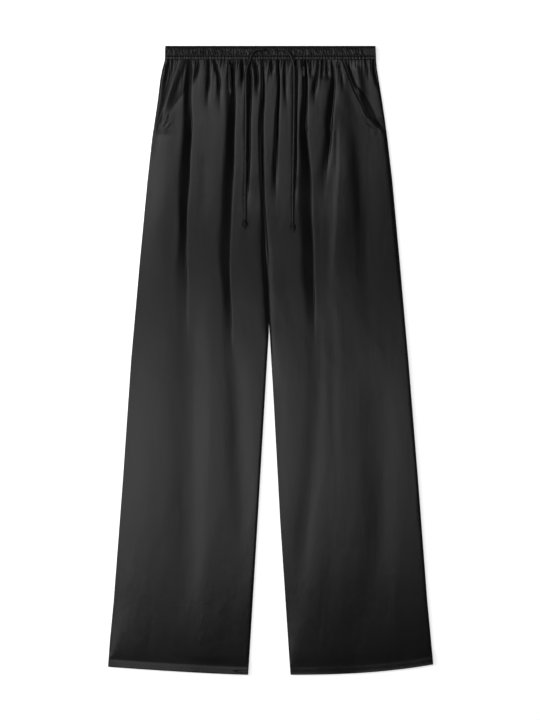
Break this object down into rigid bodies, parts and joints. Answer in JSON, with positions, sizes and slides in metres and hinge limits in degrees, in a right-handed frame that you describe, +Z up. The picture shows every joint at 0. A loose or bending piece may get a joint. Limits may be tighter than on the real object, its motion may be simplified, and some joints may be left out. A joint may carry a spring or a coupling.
{
  "type": "drawstring trousers",
  "caption": "Wide-leg satin trousers laid flat with the front up, with a gathered waistband, slanted hip pockets, turned hems and a knotted drawstring.",
  "frame": {"origin": "middle of the laid-out trousers, on the surface that they lie on", "axes": "+X to the right of the front, +Y from the hems towards the waist, +Z up from the surface"},
  "size_m": [0.5521, 1.068, 0.0152],
  "materials": {
    "leg_satin": "black satin with a soft sheen",
    "hem_satin": "black satin, turned and stitched",
    "casing_satin": "black satin, gathered in fine puckers",
    "drawstring_satin": "black satin cord"
  },
  "bodies": {
    "root": {"back_left": "leg_satin", "back_right": "leg_satin", "front_left": "leg_satin", "front_right": "leg_satin", "pocket_facing_left": "leg_satin", "pocket_facing_right": "leg_satin", "hem_back_left": "hem_satin", "hem_back_right": "hem_satin", "hem_front_left": "hem_satin", "hem_front_right": "hem_satin", "waistband_back": "casing_satin", "waistband_front": "casing_satin", "drawstring_left": "drawstring_satin", "drawstring_right": "drawstring_satin", "drawstring_knot_left": "drawstring_satin", "drawstring_knot_right": "drawstring_satin"}
  },
  "joints": []
}
